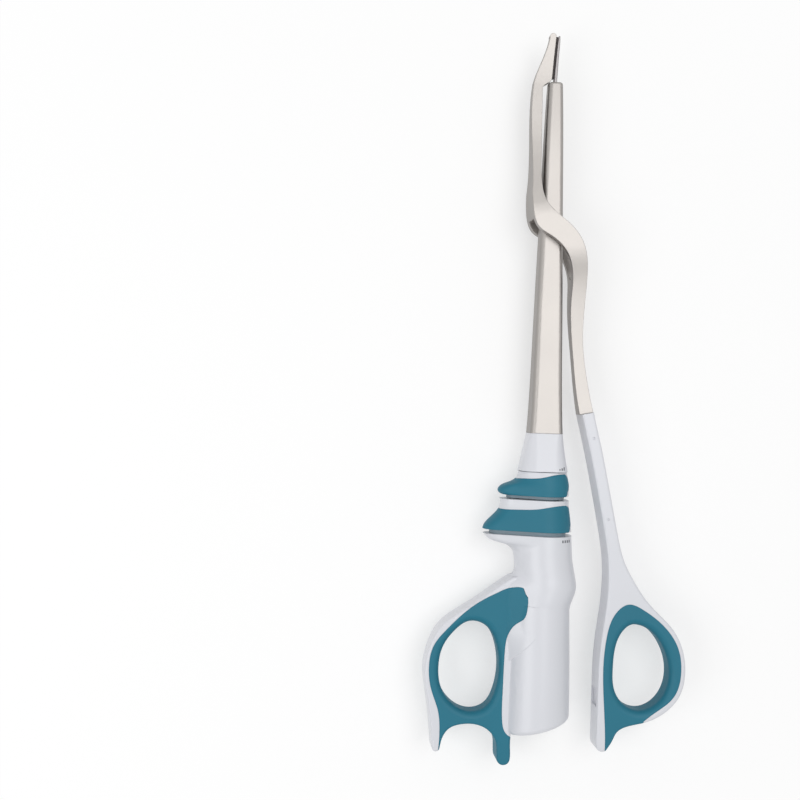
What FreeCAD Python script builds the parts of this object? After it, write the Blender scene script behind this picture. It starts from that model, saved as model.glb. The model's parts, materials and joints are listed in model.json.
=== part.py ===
"""Ultrasonic scalpel: a hand piece with two finger rings, a slim shroud and a jaw that closes on a thin blade.

Millimetres. The instrument lies on its side. The origin is the mouth of the waveguide's threaded end, +Y runs
along the waveguide to the blade, +X points to the lever and +Z is up. The mid-plane z = 0 is the parting plane.
"""
import FreeCAD, Part
import math
import os

V = FreeCAD.Vector

# Driving dimensions along the axis
thread_depth = 7.0
socket_rim_y = -53.3
socket_floor_y = -4.0
neck_start_y = -3.0
neck_top_y = 28.3
max_button_y = 30.1
max_button_top_y = 43.3
min_button_y = 45.0
min_button_top_y = 55.15
nose_y = 55.4
nose_top_y = 71.6
shroud_root_y = 57.2
shroud_tip_y = 221.7
pivot_y = 159.5
blade_tip_y = 241.2

# Bores, tubes and walls
socket_radius = 11.0
barrel_radius = 13.8
barrel_waist_radius = 12.9
wall_tube = 1.1
chassis_tube_radius = 6.6
chassis_bore = 4.8
chassis_flange_radius = 10.6
chassis_flange = 3.0
carrier_radius = 11.4
carrier_thickness = 2.2
contact_height = 0.1
neck_cavity_radius = 8.6
neck_land = 4.0
shroud_root_radius = 5.6
shroud_bore = 3.2
shroud_front_bore = 2.5
shroud_mouth = 1.7
slide_clearance = 0.35
seat_clearance = 0.05

# Buttons: a shell that slides on an egg-shaped collar of the chassis. A collar has its left end and that end's
# radius, then its right end and that end's radius.
collar_height = 2.2
max_collar = (-22.3, 4.2, 10.2, 9.2)
min_collar = (-15.4, 3.6, 9.1, 8.2)
collar_step = 0.35
dome_height = 1.3
dome_radius = 1.6
flex_thickness = 0.2
flex_width = 2.4
pad_wall = 1.2

# Finger rings
ring_half = 5.6
ring_edge = 1.1
ring_inner_edge = 3.0
cheek_left = -19.2
shoulder_place = (-9.0, -21.1)
shoulder_slope = 49
shoulder_edge = 0.6
rim_slope = math.radians(16.5)
rim_edge = 2.0

# Waveguide and blade
horn_radius = 4.0
horn_length = 9.0
thread_radius = 2.0
waveguide_radius = 2.3
waveguide_front_radius = 1.9
waveguide_neck_radius = 1.3
node_pitch = 45.0
torque_pin_y = 22.5
torque_pin_radius = 0.8
bushing_wall = 0.5
isolation_ring_width = 2.0
blade_root_y = 219.0
blade_bow = 2.2

# Lever, fork and jaw
stud_radius = 2.0
stud_running_clearance = 0.05
fork_slot_half = 4.9
stud_tip_z = 7.1
bar_half = 3.3
tang_half = 1.6
tang_end_y = 28.0
lever_joint_y = 80.6
lever_pin_radius = 1.2
lever_pocket_half = 3.8
jaw_gap = 0.15
pad_thickness = 0.75
jaw_half = 1.9


def round_end(x, y, radius, start, end):
    """Points of the rounded end of a limb, from one angle in degrees to another."""
    angles = [math.radians(start + (end - start) * share) for share in (0.0, 0.2, 0.4, 0.6, 0.8, 1.0)]
    return tuple((x + radius * math.cos(a), y + radius * math.sin(a)) for a in angles)


# Outlines in the mid-plane. A ring's outline is one smooth closed curve. In the others each move after the start is
# a tuple of points: one is a straight run to it, two are an arc through the first, more are a smooth curve.
fixed_ring_outline = (
    (-13.5, 9.6), (-19.3, 5.5), (-27.8, -0.8), (-35.4, -5.8), (-41.8, -10.9), (-47.1, -20.9), (-48.8, -31.0),
    (-47.5, -41.1), (-45.9, -51.2), (-45.1, -58.5),
) + round_end(-43.0, -63.1, 1.7, 175, 360) + (
    (-40.3, -59.0), (-37.6, -55.0), (-32.6, -53.0), (-25.7, -53.0), (-21.2, -55.0), (-17.6, -60.0),
) + round_end(-14.2, -66.9, 2.85, 175, 360) + (
    (-11.4, -62.0), (-11.3, -57.0), (-10.6, -48.0), (-10.2, -36.0), (-9.6, -15.0), (-5.5, 0.0), (-4.5, 6.5), (-8.0, 10.4),
)
fixed_ring_hole = (
    (-27.8, -9.2), (-22.4, -11.6), (-18.0, -20.4), (-17.0, -29.4), (-18.4, -38.4), (-22.2, -45.4), (-28.2, -47.6),
    (-35.8, -45.0), (-41.2, -38.1), (-42.6, -29.6), (-41.0, -20.6), (-35.7, -13.0),
)
grip_outline = (
    (-21.0, 2.5),
    ((-16.0, 5.0), (-11.4, 6.4), (-8.4, 6.2), (-7.1, 4.0), (-7.0, -1.9), (-8.4, -6.7), (-11.1, -9.1), (-13.7, -13.3),
     (-15.1, -23.6), (-15.4, -38.5), (-15.3, -50.3), (-14.1, -55.2), (-11.4, -57.5)),
    ((-5.0, -57.5),),
    ((-5.0, -75.0),),
    ((-42.0, -75.0),),
    ((-42.0, -63.7),),
    ((-41.7, -55.2), (-42.7, -46.9), (-45.7, -38.5), (-47.0, -28.6), (-45.2, -19.7), (-40.3, -13.1), (-30.9, -3.9),
     (-21.0, 2.5)),
)
lever_outline = (
    (12.2, 91.0), (14.5, 80.3), (18.1, 65.8), (22.1, 47.7), (25.6, 30.5), (27.5, 18.4), (27.9, 8.3), (27.4, -0.8),
    (26.0, -12.9), (25.1, -23.0), (24.9, -35.0), (24.9, -47.0), (24.9, -55.0),
) + round_end(27.6, -60.2, 2.6, 178, 338) + (
    (31.6, -58.6), (33.8, -54.3), (38.7, -51.6), (45.7, -49.8), (54.6, -44.8), (59.8, -38.4), (62.0, -29.0), (60.5, -18.1),
    (55.6, -9.1), (48.6, -2.2), (43.7, 3.2), (38.7, 10.7), (34.8, 18.1), (31.8, 28.5), (28.8, 42.4), (25.8, 56.3),
    (22.2, 71.6), (19.9, 81.3), (17.8, 91.0), (15.0, 94.0),
)
lever_ring_hole = (
    (40.5, -8.6), (46.5, -10.7), (52.0, -16.9), (55.2, -25.4), (55.0, -33.9), (51.0, -41.4), (44.0, -45.0),
    (37.5, -43.3), (32.9, -37.6), (31.7, -27.6), (32.7, -17.6), (36.0, -10.9),
)
lever_grip_outline = (
    (28.6, -60.4),
    ((28.2, -50.0), (27.2, -36.5), (26.9, -26.6), (28.0, -13.8), (31.8, -3.4), (36.8, 0.2), (43.2, -1.9),
     (52.1, -8.5), (58.0, -16.7), (60.0, -27.6), (57.5, -38.0), (48.1, -46.4), (44.7, -49.2)),
    ((44.7, -66.0),),
    ((28.6, -66.0),),
    ((28.6, -60.4),),
)
lever_pocket_outline = (
    (23.0, -35.5),
    ((24.9, -36.6), (25.6, -39.0)),
    ((25.7, -43.9),),
    ((23.0, -44.6),),
    ((23.0, -35.5),),
)
fork_outline = (
    (14.2, 80.0),
    ((12.2, 91.9), (10.7, 104.8), (9.2, 119.7), (9.0, 130.0), (9.0, 139.3), (5.7, 148.9), (-1.8, 155.7),
     (-6.2, 158.6), (-9.1, 166.5), (-9.6, 174.0)),
    ((-9.7, 196.0), (-9.9, 216.0), (-9.4, 221.4)),
    ((-8.4, 224.9), (-5.5, 232.5), (-3.4, 240.2)),
    ((-2.2, 242.1), (-0.75, 240.9)),
    ((-1.75, 223.6),),
    ((-2.6, 221.9), (-4.6, 220.7), (-5.6, 219.4)),
    ((-5.6, 190.0),),
    ((-5.4, 177.0), (-3.3, 169.8), (2.8, 163.6), (8.0, 159.3), (12.5, 152.8), (14.6, 145.1), (14.9, 129.6),
     (14.8, 110.0), (16.1, 99.9), (19.9, 81.2)),
    ((14.2, 80.0),),
)

# Egg-shaped sections of the moulded neck: place along the axis, left end and its radius, right end and its radius
neck_sections = (
    (neck_start_y - 5.0, cheek_left, 5.4, 12.5, 12.5),
    (neck_start_y - 2.5, cheek_left, 5.4, 12.55, 12.5),
    (neck_start_y, cheek_left, 5.4, 12.8, 12.6),
    (0.0, cheek_left + 0.1, 5.5, 13.5, 12.8),
    (3.0, cheek_left + 0.3, 5.7, 14.6, 12.85),
    (6.0, -17.9, 6.2, 15.3, 12.8),
    (9.5, -13.4, 7.6, 15.0, 12.6),
    (13.5, -11.1, 8.5, 14.2, 12.3),
    (18.0, -11.3, 8.5, 13.4, 12.0),
    (21.4, -12.4, 8.2, 13.1, 11.8),
    (23.4, -14.9, 7.4, 12.95, 11.7),
    (24.9, -20.3, 6.6, 12.85, 11.6),
    (26.4, -23.4, 6.3, 12.75, 11.5),
    (neck_top_y, -25.0, 6.2, 12.7, 11.4),
)
# The web between the barrel and the ring, which rises a little over the barrel before it ends in a shoulder
cheek_sections = (
    neck_sections[0],
    (-12.0, -18.9, 5.4, 13.0, 13.0),
    (-16.0, -18.0, 5.4, 13.4, 13.4),
    (-20.0, -16.9, 5.4, 13.65, 13.65),
    (-27.0, -16.6, 5.4, 13.85, 13.85),
    (-34.0, -16.6, 5.4, 13.95, 13.95),
)
max_button_sections = (
    (max_button_y, -25.2, 6.2, 12.55, 11.2),
    (max_button_y + 2.2, -24.4, 6.2, 12.3, 11.0),
    (max_button_y + 5.0, -21.9, 6.3, 12.0, 10.8),
    (max_button_y + 7.8, -19.3, 6.4, 11.6, 10.6),
    (max_button_top_y, -18.3, 6.5, 11.05, 10.3),
)
min_button_sections = (
    (min_button_y, -17.2, 5.6, 10.95, 10.1),
    (min_button_y + 1.8, -19.2, 5.6, 11.1, 10.0),
    (min_button_y + 3.4, -18.4, 5.8, 11.1, 9.95),
    (min_button_y + 4.7, -16.2, 6.1, 11.05, 9.85),
    (min_button_y + 5.8, -13.4, 6.6, 10.85, 9.7),
    (min_button_y + 7.0, -11.7, 7.0, 10.6, 9.55),
    (min_button_top_y, -10.7, 7.6, 9.9, 9.2),
)

# Body of the shroud: place along the axis, half width, half height and corner radius
shroud_sections = (
    (nose_top_y, 7.0, 6.1, 2.4),
    (95.0, 6.1, 5.4, 2.3),
    (125.0, 5.5, 4.8, 2.2),
    (150.0, 4.9, 4.45, 2.2),
    (175.0, 4.3, 4.2, 2.1),
    (200.0, 3.75, 3.7, 2.0),
    (shroud_tip_y, 3.05, 3.05, 1.9),
)
shroud_tip_edge = 1.0

# Half thickness of the fork along the axis
fork_thickness = (
    (80.0, bar_half), (122.0, bar_half), (140.0, 5.7), (150.0, 7.8), (158.0, 8.0), (166.0, 8.0), (173.0, 6.9),
    (184.0, 4.9), (199.0, 2.9), (216.0, 2.1),
)


def flat(point):
    """A point of the mid-plane."""
    return V(point[0], point[1], 0)


def upright(point):
    """A point (y, z) of the plane x = 0."""
    return V(0, point[0], point[1])


def outline(moves, place=flat):
    """A closed wire from a start and its moves, as the outlines above are written."""
    here = place(moves[0])
    edges = []
    for move in moves[1:]:
        ends = [place(point) for point in move]
        if len(ends) == 1:
            curve = Part.LineSegment(here, ends[0])
        elif len(ends) == 2:
            curve = Part.Arc(here, ends[0], ends[1])
        else:
            curve = Part.BSplineCurve()
            curve.interpolate([here] + ends)
        edges.append(curve.toShape())
        here = ends[-1]
    return Part.Wire(edges)


def loop(points):
    """A closed smooth wire through points of the mid-plane."""
    curve = Part.BSplineCurve()
    curve.interpolate([flat(point) for point in points], True)
    return Part.Wire([curve.toShape()])


def slab(wire, half):
    """A plate that stands half its thickness on each side of the mid-plane."""
    plate = Part.Face(wire).extrude(V(0, 0, 2 * half))
    plate.translate(V(0, 0, -half))
    return plate


def ring_plate(outer, hole):
    """A finger ring: a flat plate, rounded outside and more so round the hole."""
    body = slab(loop(outer), ring_half).cut(slab(loop(hole), ring_half + 1))
    reach = loop(hole).BoundBox.DiagonalLength + 1
    for radius, inner in ((ring_inner_edge, True), (ring_edge, False)):
        rims = [e for e in body.Edges if abs(abs(e.CenterOfMass.z) - ring_half) < 1e-6
                and (e.BoundBox.DiagonalLength < reach) == inner]
        body = body.makeFillet(radius, rims)
    return body


def rod(radius, y0, y1, x=0.0, z=0.0):
    """A cylinder along the waveguide's axis."""
    return Part.makeCylinder(radius, y1 - y0, V(x, y0, z), V(0, 1, 0))


def turned(profile):
    """A solid turned about the waveguide's axis from (y, radius) points."""
    points = [V(0, profile[0][0], 0)]
    points += [V(radius, y, 0) for y, radius in profile]
    points += [V(0, profile[-1][0], 0)]
    face = Part.Face(Part.makePolygon(points + points[:1]))
    return face.revolve(V(0, 0, 0), V(0, 1, 0), 360)


def egg(y, left, left_radius, right, right_radius):
    """An egg-shaped section across the axis: two arcs and the two straight runs that touch both."""
    left_x = left + left_radius
    right_x = right - right_radius
    lean = math.asin((right_radius - left_radius) / (right_x - left_x))
    sin, cos = math.sin(lean), math.cos(lean)
    a = V(left_x - left_radius * sin, y, left_radius * cos)
    b = V(right_x - right_radius * sin, y, right_radius * cos)
    c = V(b.x, y, -b.z)
    d = V(a.x, y, -a.z)
    return Part.Wire([
        Part.LineSegment(a, b).toShape(),
        Part.Arc(b, V(right, y, 0), c).toShape(),
        Part.LineSegment(c, d).toShape(),
        Part.Arc(d, V(left, y, 0), a).toShape(),
    ])


def egg_prism(y0, y1, left, left_radius, right, right_radius):
    """A straight length of one egg-shaped section."""
    return Part.Face(egg(y0, left, left_radius, right, right_radius)).extrude(V(0, y1 - y0, 0))


def egg_loft(sections, shrink=0.0):
    """A moulded body through egg-shaped sections, or its core when it is shrunk by a wall."""
    wires = [egg(y, left + shrink, left_r - shrink, right - shrink, right_r - shrink)
             for y, left, left_r, right, right_r in sections]
    return Part.makeLoft(wires, True, False)


def rounded_section(y, half_x, half_z, corner, x=0.0, z=0.0):
    """A rectangle across the axis with rounded corners."""
    hx, hz = half_x - corner, half_z - corner
    edges = []
    corners = ((hx, hz, 0), (-hx, hz, 90), (-hx, -hz, 180), (hx, -hz, 270))
    arcs = []
    for cx, cz, start in corners:
        ends = [math.radians(start + turn) for turn in (0, 45, 90)]
        arcs.append([V(x + cx + corner * math.cos(a), y, z + cz + corner * math.sin(a)) for a in ends])
    for index, arc in enumerate(arcs):
        following = arcs[(index + 1) % 4]
        edges.append(Part.Arc(*arc).toShape())
        edges.append(Part.LineSegment(arc[2], following[0]).toShape())
    return Part.Wire(edges)


def joined(shapes):
    """The solids fused into one."""
    return shapes[0].multiFuse(shapes[1:]).removeSplitter()


def half_space(front):
    """The room in front of the parting plane, or behind it."""
    size = 400.0
    corner = V(-size / 2, -size / 2, 0 if front else -size)
    return Part.makeBox(size, size, size, corner)


def barrel():
    """The round barrel that the transducer slides into, with its slanted and rounded rim."""
    top_y = neck_start_y + 2
    end_y = socket_rim_y - 12
    profile = ((barrel_waist_radius - 0.2, top_y), (barrel_waist_radius + 0.1, top_y - 9),
               (barrel_waist_radius + 0.45, top_y - 20), (barrel_radius, socket_rim_y + 13), (barrel_radius, end_y))
    curve = Part.BSplineCurve()
    curve.interpolate([flat(point) for point in profile])
    face = Part.Face(Part.Wire([
        Part.LineSegment(V(0, top_y, 0), flat(profile[0])).toShape(),
        curve.toShape(),
        Part.LineSegment(flat(profile[-1]), V(0, end_y, 0)).toShape(),
        Part.LineSegment(V(0, end_y, 0), V(0, top_y, 0)).toShape(),
    ]))
    body = face.revolve(V(0, 0, 0), V(0, 1, 0), 360)
    below = Part.makeBox(80, 60, 80, V(-40, -60, -40))
    below.rotate(V(0, 0, 0), V(0, 0, 1), math.degrees(rim_slope))
    below.translate(V(0, socket_rim_y, 0))
    body = body.cut(below)
    rim = min(body.Edges, key=lambda e: e.BoundBox.YMin + e.BoundBox.YMax)
    return body.makeFillet(rim_edge, [rim])


def cheek():
    """The flat-sided web between the barrel and the ring, ended by a slanted shoulder."""
    body = egg_loft(cheek_sections)
    below = Part.makeBox(120, 60, 60, V(-60, -60, -30))
    below.rotate(V(0, 0, 0), V(0, 0, 1), shoulder_slope)
    below.translate(V(*shoulder_place, 0))
    body = body.cut(below)
    face = min(body.Faces, key=lambda f: f.CenterOfMass.y - f.CenterOfMass.x)
    return body.makeFillet(shoulder_edge, face.OuterWire.Edges)


def socket():
    """The room inside the handle: the transducer's socket, the contact seat and the chassis."""
    rooms = [
        rod(socket_radius, socket_rim_y - 30, socket_floor_y),
        rod(carrier_radius, socket_floor_y, socket_floor_y + carrier_thickness),
        rod(chassis_flange_radius, socket_floor_y, socket_floor_y + carrier_thickness + chassis_flange),
        rod(neck_cavity_radius, socket_floor_y, neck_top_y - neck_land),
        rod(chassis_tube_radius, socket_floor_y, neck_top_y + 1),
    ]
    return joined(rooms)


def handle_body():
    """The whole moulded handle before it is parted into two shells and the soft grip."""
    body = egg_loft(neck_sections).fuse(barrel())
    for shape in (cheek(), ring_plate(fixed_ring_outline, fixed_ring_hole)):
        body = body.fuse(shape)
    return body


def handle():
    """The two shells and the soft grip that is moulded over them."""
    body = handle_body()
    room = socket()
    tube = rod(socket_radius + wall_tube, socket_rim_y - 2.5, neck_top_y)
    soft = slab(outline(grip_outline), 40).cut(tube)
    shells = body.cut(soft).cut(room)
    return {
        "housing_front": shells.common(half_space(True)),
        "housing_rear": shells.common(half_space(False)),
        "finger_grip": body.common(soft).cut(room),
    }


def groove():
    """The flat groove along the chassis tube that the flex lies in."""
    return Part.makeBox(0.45, 55.0, flex_width + 0.4, V(-chassis_tube_radius, socket_floor_y, -flex_width / 2 - 0.2))


def collars():
    """For each button: where its collar starts and the left end, right end and radii of its egg shape."""
    return ((neck_top_y, max_collar), (max_button_top_y + collar_step, min_collar))


def chassis():
    """The inner frame: a tube round the waveguide with a flange and the two egg-shaped button collars."""
    seat = socket_floor_y + carrier_thickness
    solids = [
        rod(chassis_tube_radius, seat, shroud_root_y),
        rod(chassis_flange_radius, seat, seat + chassis_flange),
    ]
    for y, shape in collars():
        solids.append(egg_prism(y, y + collar_height, *shape))
    body = joined(solids).cut(rod(chassis_bore, seat - 1, shroud_root_y + 1)).cut(groove())
    pin_hole = Part.makeCylinder(torque_pin_radius, 40, V(0, torque_pin_y, -20), V(0, 0, 1))
    return body.cut(pin_hole)


def switch_flex():
    """The flexible circuit: a strip in the chassis groove and a tab on each collar under the domes."""
    strip_x = -chassis_tube_radius + 0.25
    seat = socket_floor_y + carrier_thickness
    top = max_button_top_y + collar_step + collar_height + flex_thickness
    solids = [Part.makeBox(flex_thickness, top - seat, flex_width, V(strip_x, seat, -flex_width / 2))]
    for y, (left, tip_radius, *_) in collars():
        tab_left = left + 2.4
        tab_half = tip_radius - 0.3
        tab_y = y + collar_height
        tab = Part.makeBox(-chassis_tube_radius - tab_left, flex_thickness, 2 * tab_half, V(tab_left, tab_y, -tab_half))
        bridge_left = -chassis_tube_radius - 0.5
        bridge = Part.makeBox(strip_x + flex_thickness - bridge_left, flex_thickness, flex_width,
                              V(bridge_left, tab_y, -flex_width / 2))
        solids += [tab, bridge]
    return joined(solids)


def domes(index):
    """The two silicone domes that push a button back."""
    y, (left, tip_radius, *_) = collars()[index]
    base = y + collar_height + flex_thickness
    solids = []
    for z in (-1.75, 1.75):
        solids.append(Part.makeCone(dome_radius, dome_radius * 0.6, dome_height, V(left + 4.2, base, z), V(0, 1, 0)))
    return Part.makeCompound(solids)


def contacts():
    """The carrier at the socket floor and the two contact rings that meet the transducer's face."""
    y = socket_floor_y
    carrier = rod(carrier_radius, y, y + carrier_thickness).cut(rod(chassis_bore, y - 1, y + carrier_thickness + 1))
    rings = {}
    for name, outer, inner in (("outer_contact_ring", 9.8, 8.6), ("inner_contact_ring", 7.2, 6.0)):
        ring = rod(outer, y - contact_height, y + 0.8).cut(rod(inner, y - 3, y + 3))
        carrier = carrier.cut(rod(outer, y, y + 0.8).cut(rod(inner, y - 1, y + 1)))
        rings[name] = ring
    rings["contact_carrier"] = carrier
    return rings


def button(sections, seam, collar):
    """A button in two parts: the hard shell that slides on its collar and the soft pad moulded on it."""
    y0, y1 = sections[0][0], sections[-1][0]
    collar_y, (left, tip_radius, right, right_radius) = collar
    ceiling = collar_y + collar_height + flex_thickness + dome_height + 0.1
    gap = slide_clearance
    body = egg_loft(sections)
    room = egg_prism(y0 - 1, ceiling, left - gap, tip_radius + gap, right + gap, right_radius + gap)
    room = room.fuse(rod(chassis_tube_radius + gap, y0 - 1, y1 + 1))
    skin = body.cut(egg_loft(sections, pad_wall)).common(slab(outline(seam), 40))
    pad = skin.cut(room)
    shell = body.cut(skin).cut(room)
    return shell, pad


def pad_seam(low, right, wave):
    """The outline that the soft pad of a button fills: a wavy top edge and a rounded right end."""
    left_end = (-32.0, wave[0][1])
    return (
        left_end,
        (wave[0],),
        tuple(wave[1:]),
        ((right, wave[-1][1] - 2.2), (right - 0.4, low + 2.0)),
        ((right - 0.8, low + 0.5), (right - 2.2, low - 0.1)),
        ((-32.0, low - 0.1),),
        (left_end,),
    )


def buttons():
    """The lower and the upper activation button."""
    lower, upper = collars()
    max_seam = pad_seam(max_button_y, 11.4, ((-19.6, 38.9), (-15.0, 39.0), (-10.0, 39.2), (-4.0, 39.7),
                                              (0.0, 40.5), (4.0, 41.2), (8.6, 41.4)))
    min_seam = pad_seam(min_button_y, 9.9, ((-12.0, 51.9), (-9.0, 52.3), (-5.0, 52.5), (-2.0, 53.0),
                                              (1.5, 53.9), (5.0, 54.5), (8.0, 54.6)))
    max_shell, max_pad = button(max_button_sections, max_seam, lower)
    min_shell, min_pad = button(min_button_sections, min_seam, upper)
    return {
        "max_button_shell": max_shell,
        "max_button_pad": max_pad,
        "min_button_shell": min_shell,
        "min_button_pad": min_pad,
    }


def nose_cone():
    """The cone that closes the handle and clamps the root of the shroud."""
    y, half_x, half_z, corner = shroud_sections[0]
    sections = [
        rounded_section(nose_y, 10.1, 9.2, 6.4, x=-0.3),
        rounded_section(nose_y + 5.5, 9.0, 8.3, 5.6, x=-0.3),
        rounded_section(y, half_x, half_z + 0.3, corner + 0.3, x=0.0),
    ]
    body = Part.makeLoft(sections, True, False)
    body = body.cut(rod(chassis_tube_radius + seat_clearance, nose_y - 1, shroud_root_y))
    return body.cut(rod(shroud_root_radius + seat_clearance, nose_y - 1, nose_top_y + 1))


def shaft_shroud():
    """The slim metal shroud: round at its root, a rounded rectangle along the shaft and round at the tip."""
    body = Part.makeLoft([rounded_section(*section) for section in shroud_sections], True, False)
    rims = [e for e in body.Edges if e.BoundBox.YMin > shroud_tip_y - 1e-3]
    body = body.makeFillet(shroud_tip_edge, rims)
    body = body.fuse(rod(shroud_root_radius, shroud_root_y, nose_top_y + 1))
    front = shroud_tip_y - 35
    bore = turned(((shroud_root_y - 1, shroud_bore), (front, shroud_bore), (front + 2, shroud_front_bore),
                   (shroud_tip_y - 5, shroud_front_bore), (shroud_tip_y - 4, shroud_mouth),
                   (shroud_tip_y + 1, shroud_mouth)))
    stud_holes = Part.makeCylinder(stud_radius, 40, V(0, pivot_y, -20), V(0, 0, 1))
    return body.cut(bore).cut(stud_holes)


def blade_x(y):
    """The middle of the blade across the jaw, which leans a little to the lever's side."""
    return -0.1 + 0.85 * (y - shroud_tip_y) / (blade_tip_y - shroud_tip_y)


def blade_half(y):
    """Half the blade's width across the jaw."""
    return 0.72 - 0.24 * (y - shroud_tip_y) / (blade_tip_y - shroud_tip_y)


def bow(y):
    """How far the blade and the jaw curve up at a place along the axis."""
    return blade_bow * max(0.0, (y - blade_root_y) / (blade_tip_y - blade_root_y)) ** 2


def waveguide():
    """The titanium waveguide: threaded horn, slim rod and the curved blade."""
    front = shroud_tip_y - 33
    rod_part = turned(((0, horn_radius), (horn_length, horn_radius), (horn_length + 4, waveguide_radius),
                       (front, waveguide_radius), (front + 3, waveguide_front_radius),
                       (shroud_tip_y - 7, waveguide_front_radius), (shroud_tip_y - 4.5, waveguide_neck_radius),
                       (blade_root_y, waveguide_neck_radius)))
    places = [blade_root_y + (blade_tip_y - blade_root_y) * share for share in (0, 0.2, 0.45, 0.7, 0.9, 1.0)]
    heights = (1.0, 1.2, 1.15, 1.0, 0.85, 0.55)
    sections = []
    for y, half_z in zip(places, heights):
        half_x = blade_half(y) if y < blade_tip_y - 0.1 else blade_half(y) * 0.6
        x = blade_x(y) if y > blade_root_y + 0.1 else 0.0
        sections.append(rounded_section(y, half_x, half_z, half_x * 0.6, x=x, z=bow(y)))
    body = rod_part.fuse(Part.makeLoft(sections, True, False))
    body = body.cut(rod(thread_radius, -1, thread_depth))
    sleeve = Part.makeCylinder(torque_pin_radius + bushing_wall, 40, V(0, torque_pin_y, -20), V(0, 0, 1))
    return body.cut(sleeve)


def node_places():
    """Where the waveguide stands still along its length."""
    return [torque_pin_y + node_pitch * step for step in range(1, 5)]


def isolation_rings():
    """The silicone rings that hold the waveguide at its still places."""
    rings = []
    for y in node_places():
        slim = y > shroud_tip_y - 30
        outer = shroud_front_bore if slim else shroud_bore
        inner = waveguide_front_radius if slim else waveguide_radius
        half = isolation_ring_width / 2
        rings.append(rod(outer, y - half, y + half).cut(rod(inner, y - half - 1, y + half + 1)))
    return Part.makeCompound(rings)


def distal_seal():
    """The silicone seal just behind the mouth of the shroud."""
    y0 = shroud_tip_y - 9.5
    return rod(shroud_front_bore, y0, y0 + 2.0).cut(rod(waveguide_front_radius, y0 - 1, y0 + 3))


def torque_pin():
    """The steel pin that keeps the waveguide from turning in the chassis, and its silicone bushing."""
    reach = chassis_tube_radius - 0.1
    pin = Part.makeCylinder(torque_pin_radius, 2 * reach, V(0, torque_pin_y, -reach), V(0, 0, 1))
    length = waveguide_radius - 0.2
    sleeve = Part.makeCylinder(torque_pin_radius + bushing_wall, 2 * length, V(0, torque_pin_y, -length), V(0, 0, 1))
    return pin, sleeve.cut(pin)


def pivot_studs():
    """The two studs pressed into the sides of the shroud that the fork turns on."""
    root = shroud_bore + 0.1
    studs = []
    for side in (1, -1):
        stud = Part.makeCylinder(stud_radius, stud_tip_z - root, V(0, pivot_y, side * root), V(0, 0, side))
        tip = [e for e in stud.Edges if abs(abs(e.CenterOfMass.z) - stud_tip_z) < 1e-6]
        studs.append(stud.makeChamfer(0.3, tip))
    return Part.makeCompound(studs)


def fork_side_view():
    """The fork and jaw seen from the lever's side: thick round the pivot, thin at the jaw, which curves up."""
    upper = [(y, half) for y, half in fork_thickness]
    jaw = [(y, jaw_half - 0.5 * share, bow(y)) for y, share in ((222.0, 0.0), (229.0, 0.35), (236.0, 0.7), (243.0, 1.2))]
    top = upper + [(y, mid + half) for y, half, mid in jaw]
    bottom = [(y, -half) for y, half in upper] + [(y, mid - half) for y, half, mid in jaw]
    start = bottom[0]
    moves = (start, ((start[0], top[0][1]),), tuple(top[1:]), (bottom[-1],), tuple(reversed(bottom[:-1])))
    face = Part.Face(outline(moves, upright))
    body = face.extrude(V(60, 0, 0))
    body.translate(V(-30, 0, 0))
    return body


def fork_slot():
    """The room between the fork's arms, with a rounded crotch, that the shroud stands in."""
    crotch = (137.5, 0.0)
    deep = fork_slot_half
    side = outline((
        crotch,
        ((139.0, 2.3), (142.5, 4.1), (147.0, deep)),
        ((200.0, deep),),
        ((200.0, -deep),),
        ((147.0, -deep),),
        ((142.5, -4.1), (139.0, -2.3), crotch),
    ), upright)
    room = Part.Face(side).extrude(V(80, 0, 0))
    room.translate(V(-40, 0, 0))
    left = -5.6
    web_y = pivot_y + 3.2
    plan = outline((
        (left, 178.0),
        ((40.0, 178.0),),
        ((40.0, 130.0),),
        ((-40.0, 130.0),),
        ((-40.0, web_y),),
        ((left - 1.0, web_y),),
        ((left - 0.3, web_y + 0.3), (left, web_y + 1.0)),
        ((left, 178.0),),
    ))
    return room.common(slab(plan, 20))


def clamp_arm():
    """The one-piece fork and jaw: a bar that parts round the shroud and closes again to the jaw."""
    body = slab(outline(fork_outline), 12).common(fork_side_view()).cut(fork_slot())
    hole = stud_radius + stud_running_clearance
    depth = stud_tip_z + 0.1
    body = body.cut(Part.makeCylinder(hole, 2 * depth, V(0, pivot_y, -depth), V(0, 0, 1)))
    tang = slab(tang_outline(0.0), tang_half)
    body = body.fuse(tang).removeSplitter()
    for x, y in lever_pin_places():
        body = body.cut(Part.makeCylinder(lever_pin_radius, 40, V(x, y, -20), V(0, 0, 1)))
    return body


def tang_outline(gap):
    """The tang that runs from the fork into the lever, or its pocket when a gap is added."""
    return outline((
        (15.6 - gap, 82.0),
        ((18.9 - gap, 66.0), (23.3 - gap, 47.0), (27.2 - gap, tang_end_y - gap)),
        ((29.8 + gap, tang_end_y - gap),),
        ((26.6 + gap, 47.0), (22.8 + gap, 66.0), (19.0 + gap, 82.0)),
        ((15.6 - gap, 82.0),),
    ))


def lever_pin_places():
    """The two dowels through the lever shells and the tang."""
    return ((20.0, 70.2), (27.1, 36.0))


def lever_end():
    """What lies beyond the joint between the plastic lever and the metal fork."""
    beyond = Part.makeBox(60, 30, 60, V(-30, 0, -30))
    beyond.rotate(V(0, 0, 0), V(0, 0, 1), 12)
    beyond.translate(V(17.2, lever_joint_y, 0))
    return beyond


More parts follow.
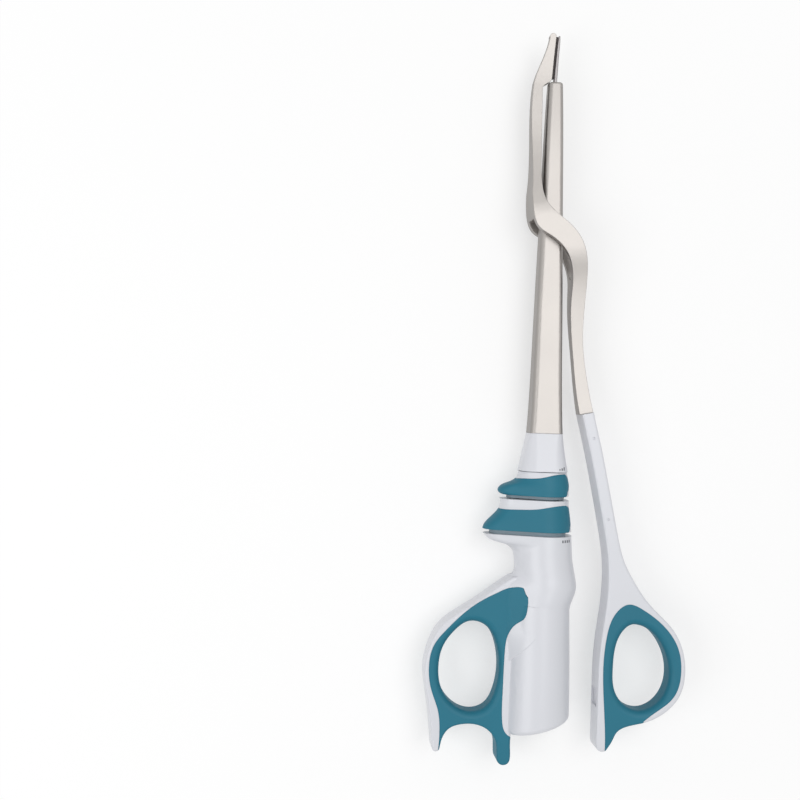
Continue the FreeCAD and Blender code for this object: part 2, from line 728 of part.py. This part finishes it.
def lever():
    """The two lever shells, the soft grip round the thumb ring and the dowels."""
    body = ring_plate(lever_outline, lever_ring_hole)
    body = body.cut(lever_end())
    body = body.cut(slab(tang_outline(seat_clearance), tang_half))
    body = body.cut(slab(outline(lever_pocket_outline), lever_pocket_half))
    seam = slab(outline(lever_grip_outline), 40)
    grip = body.common(seam)
    shells = body.cut(seam)
    reach = ring_half - 1.4
    dowels = []
    for x, y in lever_pin_places():
        dowel = Part.makeCylinder(lever_pin_radius, 2 * reach, V(x, y, -reach), V(0, 0, 1))
        shells = shells.cut(dowel)
        dowels.append(dowel)
        dot = Part.makeCylinder(0.5, 2 * ring_half, V(x, y, ring_half - 0.4), V(0, 0, 1))
        shells = shells.cut(dot)
    return {
        "lever_shell_front": shells.common(half_space(True)),
        "lever_shell_rear": shells.common(half_space(False)),
        "lever_grip": grip,
        "lever_pins": Part.makeCompound(dowels),
    }


def tissue_pad():
    """The dark pad that the jaw presses on the blade, curved as the blade is."""
    y0, y1 = 223.6, 240.7
    face_low = blade_x(y0) - blade_half(y0) - jaw_gap
    face_high = blade_x(y1) - blade_half(y1) - jaw_gap
    strip = slab(outline((
        (face_low, y0),
        ((face_high, y1),),
        ((face_high - pad_thickness, y1),),
        ((face_low - pad_thickness, y0),),
        ((face_low, y0),),
    )), 12)
    places = [y0 + (y1 - y0) * share for share in (0, 0.33, 0.67, 1.0)]
    top = [(y, bow(y) + 1.3 - 0.02 * (y - y0)) for y in places]
    bottom = [(y, bow(y) - 1.3 + 0.02 * (y - y0)) for y in places]
    side = outline((bottom[0], (top[0],), tuple(top[1:]), (bottom[-1],), tuple(reversed(bottom[:-1]))), upright)
    body = Part.Face(side).extrude(V(20, 0, 0))
    body.translate(V(-10, 0, 0))
    return strip.common(body)


def build():
    """Every piece of the instrument by its name."""
    pin, bushing = torque_pin()
    pieces = {
        "nose_cone": nose_cone(),
        "shaft_shroud": shaft_shroud(),
        "chassis": chassis(),
        "switch_flex": switch_flex(),
        "max_button_domes": domes(0),
        "min_button_domes": domes(1),
        "waveguide": waveguide(),
        "isolation_rings": isolation_rings(),
        "distal_seal": distal_seal(),
        "torque_pin": pin,
        "torque_pin_bushing": bushing,
        "pivot_studs": pivot_studs(),
        "clamp_arm": clamp_arm(),
        "tissue_pad": tissue_pad(),
    }
    pieces.update(handle())
    pieces.update(contacts())
    pieces.update(buttons())
    pieces.update(lever())
    return pieces


os.makedirs("parts", exist_ok=True)
for name, shape in sorted(build().items()):
    print(name, len(shape.Solids), "solids", round(shape.Volume, 1), "mm3", "valid" if shape.isValid() else "INVALID")
    shape.exportStep("parts/" + name + ".step")
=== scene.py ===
"""The ultrasonic scalpel's finish: white moulded shells, soft teal grips, satin steel fork and shroud."""
import json
import math

import bmesh
import bpy
from mathutils import Matrix, Vector
from mathutils.bvhtree import BVHTree


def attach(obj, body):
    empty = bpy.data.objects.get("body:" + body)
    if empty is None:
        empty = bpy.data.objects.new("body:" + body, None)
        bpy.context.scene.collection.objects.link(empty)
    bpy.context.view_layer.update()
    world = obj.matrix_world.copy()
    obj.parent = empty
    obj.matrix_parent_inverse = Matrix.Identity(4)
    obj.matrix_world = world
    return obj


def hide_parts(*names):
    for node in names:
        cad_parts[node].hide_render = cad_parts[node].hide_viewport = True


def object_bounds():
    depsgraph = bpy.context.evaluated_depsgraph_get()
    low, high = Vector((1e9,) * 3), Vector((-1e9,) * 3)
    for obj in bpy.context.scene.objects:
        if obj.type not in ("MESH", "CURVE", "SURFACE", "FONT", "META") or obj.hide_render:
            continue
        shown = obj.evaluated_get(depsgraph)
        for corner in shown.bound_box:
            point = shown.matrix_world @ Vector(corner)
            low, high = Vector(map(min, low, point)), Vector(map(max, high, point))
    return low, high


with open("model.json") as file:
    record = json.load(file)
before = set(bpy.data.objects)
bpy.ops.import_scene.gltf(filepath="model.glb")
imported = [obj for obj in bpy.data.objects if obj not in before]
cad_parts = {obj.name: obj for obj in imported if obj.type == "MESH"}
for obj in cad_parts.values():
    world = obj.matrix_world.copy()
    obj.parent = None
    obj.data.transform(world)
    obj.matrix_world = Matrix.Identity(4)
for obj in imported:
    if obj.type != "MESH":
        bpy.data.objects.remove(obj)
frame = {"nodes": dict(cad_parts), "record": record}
cad_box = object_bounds()

MM = 0.001

# The photograph's view: the camera's place over the parting plane, the middle and width of what it frames
# there, and its lean
CAMERA_PLACE = Vector((-100.0, 83.9, 450.0)) * MM
FRAME_CENTRE = Vector((-62.3, 83.9, 0.0)) * MM
FRAME_WIDTH = 343.35 * MM
LEAN = math.radians(1.784)
SENSOR = 36.0
# The nearest and farthest depth that is drawn, in metres
NEAREST = 0.01
FARTHEST = 10.0


def add_object(name, data):
    """A new object at the scene's origin."""
    made = bpy.data.objects.new(name, data)
    bpy.context.scene.collection.objects.link(made)
    return made


def make_camera():
    """A camera that looks straight down, with the small shift that the photograph's framing needs."""
    data = bpy.data.cameras.new("camera")
    camera = add_object("camera", data)
    camera.location = CAMERA_PLACE
    camera.rotation_euler = (0.0, 0.0, LEAN)
    data.sensor_width = SENSOR
    data.lens = SENSOR * CAMERA_PLACE.z / FRAME_WIDTH
    offset = Matrix.Rotation(-LEAN, 3, "Z") @ (FRAME_CENTRE - CAMERA_PLACE)
    data.shift_x = offset.x / FRAME_WIDTH
    data.shift_y = offset.y / FRAME_WIDTH
    data.clip_start = NEAREST
    data.clip_end = FARTHEST
    bpy.context.scene.camera = camera


make_camera()


def linear(hex_colour):
    """An sRGB hex colour as the linear values that a shader takes."""
    channels = [int(hex_colour[i:i + 2], 16) / 255 for i in (1, 3, 5)]
    values = [c / 12.92 if c <= 0.04045 else ((c + 0.055) / 1.055) ** 2.4 for c in channels]
    return (*values, 1.0)


def node(tree, kind, settings=None, **inputs):
    """Adds one shader node with its settings, values and links.

    An input is a value, or a socket to link from. In an input's name an underscore stands for a space, and a
    name such as _6 is the socket with that number.
    """
    made = tree.nodes.new(kind)
    for key, value in (settings or {}).items():
        setattr(made, key, value)
    for key, value in inputs.items():
        socket = made.inputs[int(key[1:]) if key[1:].isdigit() else key.replace("_", " ")]
        if isinstance(value, bpy.types.NodeSocket):
            tree.links.new(value, socket)
        else:
            socket.default_value = value
    return made


# Moulded and ground edges are never knife sharp: their light turns over this radius, felt by a few probes
SOFT_EDGE = 0.35 * MM
EDGE_PROBES = 4
# How finely the colour's drift and the grain are broken up, and the grain's depth as a share of its width
DRIFT_DETAIL = 2.0
GRAIN_DETAIL = 4.0
GRAIN_ROUGHNESS = 0.6
GRAIN_DEPTH = 0.25


def surface(name, shader, tones, patch, grain, bump, roughness):
    """A material whose colour drifts between two near tones, with a fine grain in relief and roughness.

    Patch and grain are widths in millimetres, bump is how strongly the grain shows, and the roughness keeps
    between its two values. Real grains are too fine to show, so each is drawn a few times as coarse.
    """
    material = bpy.data.materials.new(name)
    material.use_nodes = True
    tree = material.node_tree
    tree.nodes.clear()
    place = node(tree, "ShaderNodeTexCoord").outputs["Object"]
    drift = node(tree, "ShaderNodeTexNoise", Vector=place, Scale=1 / (patch * MM), Detail=DRIFT_DETAIL)
    fine = node(tree, "ShaderNodeTexNoise", Vector=place, Scale=1 / (grain * MM), Detail=GRAIN_DETAIL,
                Roughness=GRAIN_ROUGHNESS).outputs["Fac"]
    colour = node(tree, "ShaderNodeMix", {"data_type": "RGBA"}, _0=drift.outputs["Fac"],
                  _6=linear(tones[0]), _7=linear(tones[1]))
    rough = node(tree, "ShaderNodeMapRange", Value=fine, To_Min=roughness[0], To_Max=roughness[1])
    edges = node(tree, "ShaderNodeBevel", {"samples": EDGE_PROBES}, Radius=SOFT_EDGE)
    relief = node(tree, "ShaderNodeBump", Height=fine, Strength=bump, Distance=grain * MM * GRAIN_DEPTH,
                  Normal=edges.outputs["Normal"])
    principled = node(tree, "ShaderNodeBsdfPrincipled", Base_Color=colour.outputs[2],
                      Roughness=rough.outputs["Result"], Normal=relief.outputs["Normal"], **shader)
    node(tree, "ShaderNodeOutputMaterial", Surface=principled.outputs["BSDF"])
    return material


# ABS, injection moulded in a spark-eroded tool: a cool white with a faint even grain and a soft sheen
white_abs = surface("white_abs_moulded", {"IOR": 1.53}, ("#D9DAE0", "#D5D7DC"),
                    patch=30.0, grain=0.35, bump=0.12, roughness=(0.26, 0.36))
# Thermoplastic elastomer, overmoulded: a deep teal, matte, with a fine soft grain
teal_tpe = surface("teal_elastomer_overmoulded", {"IOR": 1.48}, ("#106D83", "#0E667B"),
                   patch=25.0, grain=0.45, bump=0.25, roughness=(0.48, 0.60))
# Stainless steel, bead blasted: a pale warm grey, satin, with a fine pebbled grain
satin_steel = surface("stainless_steel_bead_blasted", {"Metallic": 1.0}, ("#A39F9B", "#9C9895"),
                      patch=22.0, grain=0.30, bump=0.15, roughness=(0.36, 0.46))
# Titanium alloy, ground and etched: a slightly darker grey than the steel, with a silky sheen
titanium = surface("titanium_ground_and_etched", {"Metallic": 1.0}, ("#8F8B8B", "#878383"),
                   patch=12.0, grain=0.20, bump=0.08, roughness=(0.40, 0.48))
# Glass-filled nylon, moulded: blue-grey and plain, seen only between the buttons and in the socket
grey_nylon = surface("grey_nylon_moulded", {"IOR": 1.53}, ("#8B9AA3", "#7F8F99"),
                     patch=15.0, grain=0.35, bump=0.15, roughness=(0.50, 0.60))
# Filled fluoropolymer, machined: a pad with a waxy sheen, coloured a dark brown-grey that is painted shade
# of the hairline gap between jaw and blade
ptfe_painted_gap_shade = surface("fluoropolymer_machined_painted_gap_shade", {"IOR": 1.38}, ("#2E2726", "#383030"),
                    patch=4.0, grain=0.20, bump=0.20, roughness=(0.45, 0.60))
# Silicone rubber, moulded: milky and soft
silicone = surface("silicone_moulded", {"IOR": 1.43}, ("#C9C8C2", "#BFBEB8"),
                   patch=5.0, grain=0.30, bump=0.10, roughness=(0.45, 0.55))
# Brass contact rings, gold plated: warm and bright
gold = surface("brass_gold_plated", {"Metallic": 1.0}, ("#D9B45C", "#CFA94F"),
               patch=6.0, grain=0.20, bump=0.05, roughness=(0.22, 0.32))
# Polyimide film of the flexible circuit: amber and glossy
amber_film = surface("polyimide_film", {"IOR": 1.6}, ("#B8741F", "#AA6A1B"),
                     patch=6.0, grain=0.30, bump=0.05, roughness=(0.25, 0.35))
# Stainless steel pins, ground: plain grey and fairly bright
pin_steel = surface("stainless_steel_ground", {"Metallic": 1.0}, ("#BFC0C2", "#B5B6B8"),
                    patch=5.0, grain=0.15, bump=0.05, roughness=(0.25, 0.35))
# Pad-printed ink of the level marks: dark grey and matte
mark_ink = surface("printed_ink", {"IOR": 1.5}, ("#5B5E64", "#52555B"),
                   patch=4.0, grain=0.20, bump=0.05, roughness=(0.55, 0.65))

# Each CAD node: its material and the greatest width in millimetres of its broken edges. At 0 they stay as
# they are
FINISH = {
    "housing_front": (white_abs, 0.18),
    "housing_rear": (white_abs, 0.18),
    "finger_grip": (teal_tpe, 0.18),
    "nose_cone": (white_abs, 0.20),
    "shaft_shroud": (satin_steel, 0.15),
    "chassis": (grey_nylon, 0.15),
    "switch_flex": (amber_film, 0.0),
    "max_button_domes": (silicone, 0.0),
    "min_button_domes": (silicone, 0.0),
    "contact_carrier": (grey_nylon, 0.1),
    "inner_contact_ring": (gold, 0.1),
    "outer_contact_ring": (gold, 0.1),
    "waveguide": (titanium, 0.0),
    "isolation_rings": (silicone, 0.0),
    "distal_seal": (silicone, 0.0),
    "torque_pin": (pin_steel, 0.0),
    "torque_pin_bushing": (silicone, 0.0),
    "pivot_studs": (pin_steel, 0.0),
    "clamp_arm": (satin_steel, 0.45),
    # The pad's dark colour is painted shade of the gap between jaw and blade
    "tissue_pad": (ptfe_painted_gap_shade, 0.05),
    "lever_shell_front": (white_abs, 0.18),
    "lever_shell_rear": (white_abs, 0.18),
    "lever_grip": (teal_tpe, 0.18),
    "lever_pins": (pin_steel, 0.0),
    "min_button_shell": (white_abs, 0.18),
    "min_button_pad": (teal_tpe, 0.0),
    "max_button_shell": (white_abs, 0.18),
    "max_button_pad": (teal_tpe, 0.18),
}
# Points this close are one point, and neighbours that lean by less than this angle are one face
MERGE_WITHIN = 0.001 * MM
FLAT_BELOW = math.radians(0.5)
# Edges between these angles are broken, and faces that meet below the last one are shaded as one surface
EDGE_ABOVE = math.radians(32)
EDGE_BELOW = math.radians(160)
SMOOTH_BELOW = math.radians(50)


def body_of(name):
    """The body that a CAD node belongs to."""
    return next(body for body, names in frame["record"]["behaviour"]["bodies"].items() if name in names)


def break_edges(shape, width):
    """Rounds the clear edges of a shape by at most a width in millimetres."""
    clear = [e for e in shape.edges if e.is_manifold and EDGE_ABOVE < e.calc_face_angle(0.0) < EDGE_BELOW]
    bmesh.ops.bevel(shape, geom=clear, offset=width * MM, segments=2, profile=0.5, affect="EDGES",
                    material=-1, clamp_overlap=True, loop_slide=True)


def dress(name, material, edge):
    """A merged copy of a CAD node with smooth faces, finely broken edges and its material."""
    mesh = frame["nodes"][name].data.copy()
    mesh.name = name + "_finish"
    shape = bmesh.new()
    shape.from_mesh(mesh)
    bmesh.ops.remove_doubles(shape, verts=shape.verts, dist=MERGE_WITHIN)
    bmesh.ops.dissolve_limit(shape, angle_limit=FLAT_BELOW, verts=shape.verts, edges=shape.edges,
                             delimit={"SEAM"})
    if edge:
        break_edges(shape, edge)
    for face in shape.faces:
        face.smooth = True
    shape.to_mesh(mesh)
    shape.free()
    mesh.set_sharp_from_angle(angle=SMOOTH_BELOW)
    mesh.materials.clear()
    mesh.materials.append(material)
    piece = add_object(name + "_finish", mesh)
    flats = piece.modifiers.new("flat faces stay flat", "WEIGHTED_NORMAL")
    flats.keep_sharp = True
    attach(piece, body_of(name))
    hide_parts(name)
    return piece


dressed = {name: dress(name, *finish) for name, finish in FINISH.items()}

# The thickness of the printed marks, the height from which they are let down on the shells, and how many
# cells each has along its sides to follow a shell's curve
INK = 0.03 * MM
LET_DOWN_FROM = 30 * MM
MARK_CELLS = 4
# Each mark is (x, y, width, height) in millimetres: three rise from one foot line beside the far button, and
# four even ones stand beside the near button
FOOT_LINE = 56.25
RISING_SIZES = ((5.2, 0.6), (6.2, 1.0), (7.2, 1.4))
RISING_MARKS = [(x, FOOT_LINE + height / 2, 0.5, height) for x, height in RISING_SIZES]
EVEN_MARKS = [(x, 26.5, 0.6, 1.1) for x in (7.1, 8.2, 9.3, 10.4)]


def level_marks(name, node_name, bars, side):
    """Printed bars that lie on a curved shell, on its front where side is 1 and its rear where it is -1."""
    shell = BVHTree.FromObject(dressed[node_name], bpy.context.evaluated_depsgraph_get())
    marks = bmesh.new()
    for x, y, width, height in bars:
        square = bmesh.ops.create_grid(marks, x_segments=MARK_CELLS, y_segments=MARK_CELLS, size=0.5)
        bmesh.ops.scale(marks, verts=square["verts"], vec=(width * MM, height * MM, 1.0))
        bmesh.ops.translate(marks, verts=square["verts"], vec=(x * MM, y * MM, side * LET_DOWN_FROM))
    for vert in marks.verts:
        place, normal, *_ = shell.ray_cast(vert.co, Vector((0.0, 0.0, -side)))
        vert.co = place + normal * INK / 2
    if side < 0:
        bmesh.ops.reverse_faces(marks, faces=marks.faces)
    bmesh.ops.solidify(marks, geom=marks.faces, thickness=INK)
    mesh = bpy.data.meshes.new(name)
    marks.to_mesh(mesh)
    marks.free()
    mesh.materials.append(mark_ink)
    piece = add_object(name, mesh)
    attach(piece, body_of(node_name))


for label, side in (("front", 1), ("rear", -1)):
    level_marks("upper_marks_" + label, "nose_cone", RISING_MARKS, side)
    level_marks("lower_marks_" + label, "housing_" + label, EVEN_MARKS, side)

PLAIN_WHITE = linear("#FFFFFF")
# The floor's half width and middle in metres, wide enough to fill the camera's view
FLOOR_HALF = 2.0
FLOOR_MIDDLE = (0.0, 0.1)
# The floor turns to plain white between these two distances from the shadow's middle, in metres, and this
# share of it is plain white right under the instrument
SHADOW_MIDDLE = (0.0, 0.09)
FADE_FROM = 0.10
FADE_TO = 0.40
WHITE_SHARE = 0.5
# Each lamp: its place and width in metres and its power in watts. They face one point on the instrument
LAMPS = {
    "overhead": ((0.20, 0.24, 0.95), 0.7, 3.6),
    "side": ((-0.60, -0.10, 0.60), 0.5, 1.8),
}
LAMP_TARGET = Vector((0.0, 0.08, 0.0))
# How strongly the surround lights the instrument, and how bright it is where it is seen
SURROUND_LIGHT = 0.52
SURROUND_SEEN = 1.0


def seen_ray(tree):
    """1 for what the camera, a reflection or clear material sees, 0 for what lights the instrument."""
    path = node(tree, "ShaderNodeLightPath").outputs
    direct = node(tree, "ShaderNodeMath", {"operation": "MAXIMUM"}, _0=path["Is Camera Ray"],
                  _1=path["Is Transmission Ray"])
    seen = node(tree, "ShaderNodeMath", {"operation": "MAXIMUM"}, _0=direct.outputs[0],
                _1=path["Is Glossy Ray"])
    return seen.outputs[0]


def floor_material(low):
    """White that shows the instrument's shadow and, where it is seen farther out, is plain white."""
    material = bpy.data.materials.new("pale_floor")
    material.use_nodes = True
    tree = material.node_tree
    tree.nodes.clear()
    diffuse = node(tree, "ShaderNodeBsdfDiffuse", Color=PLAIN_WHITE)
    paper = node(tree, "ShaderNodeEmission", Color=PLAIN_WHITE, Strength=1.0)
    place = node(tree, "ShaderNodeTexCoord").outputs["Object"]
    centred = node(tree, "ShaderNodeVectorMath", {"operation": "SUBTRACT"}, _0=place,
                   _1=(*SHADOW_MIDDLE, low))
    reach = node(tree, "ShaderNodeVectorMath", {"operation": "LENGTH"}, _0=centred.outputs["Vector"])
    far = node(tree, "ShaderNodeMapRange", {"interpolation_type": "SMOOTHSTEP"},
               Value=reach.outputs["Value"], From_Min=FADE_FROM, From_Max=FADE_TO, To_Min=WHITE_SHARE)
    share = node(tree, "ShaderNodeMath", {"operation": "MULTIPLY"}, _0=far.outputs["Result"],
                 _1=seen_ray(tree))
    mix = node(tree, "ShaderNodeMixShader", _0=share.outputs[0], _1=diffuse.outputs["BSDF"],
               _2=paper.outputs["Emission"])
    node(tree, "ShaderNodeOutputMaterial", Surface=mix.outputs["Shader"])
    return material


def make_stage():
    """A wide white floor that touches the lowest point of the instrument."""
    low = cad_box[0][2]
    sheet = bmesh.new()
    bmesh.ops.create_grid(sheet, x_segments=1, y_segments=1, size=FLOOR_HALF)
    bmesh.ops.translate(sheet, verts=sheet.verts, vec=(*FLOOR_MIDDLE, low))
    mesh = bpy.data.meshes.new("floor")
    sheet.to_mesh(mesh)
    sheet.free()
    mesh.materials.append(floor_material(low))
    floor = add_object("floor", mesh)


def make_lights():
    """A broad lamp overhead, a smaller one on the finger ring's side and an even white surround."""
    world = bpy.data.worlds.new("studio")
    bpy.context.scene.world = world
    world.use_nodes = True
    tree = world.node_tree
    tree.nodes.clear()
    strength = node(tree, "ShaderNodeMapRange", Value=seen_ray(tree), To_Min=SURROUND_LIGHT,
                    To_Max=SURROUND_SEEN)
    background = node(tree, "ShaderNodeBackground", Color=PLAIN_WHITE, Strength=strength.outputs["Result"])
    node(tree, "ShaderNodeOutputWorld", Surface=background.outputs["Background"])
    for name, (place, width, power) in LAMPS.items():
        lamp = bpy.data.lights.new(name, "AREA")
        lamp.size = width
        lamp.energy = power
        holder = add_object(name, lamp)
        holder.location = place
        holder.rotation_euler = (LAMP_TARGET - Vector(place)).to_track_quat("-Z", "Y").to_euler()


make_stage()
make_lights()
bpy.context.scene.view_settings.view_transform = "Standard"
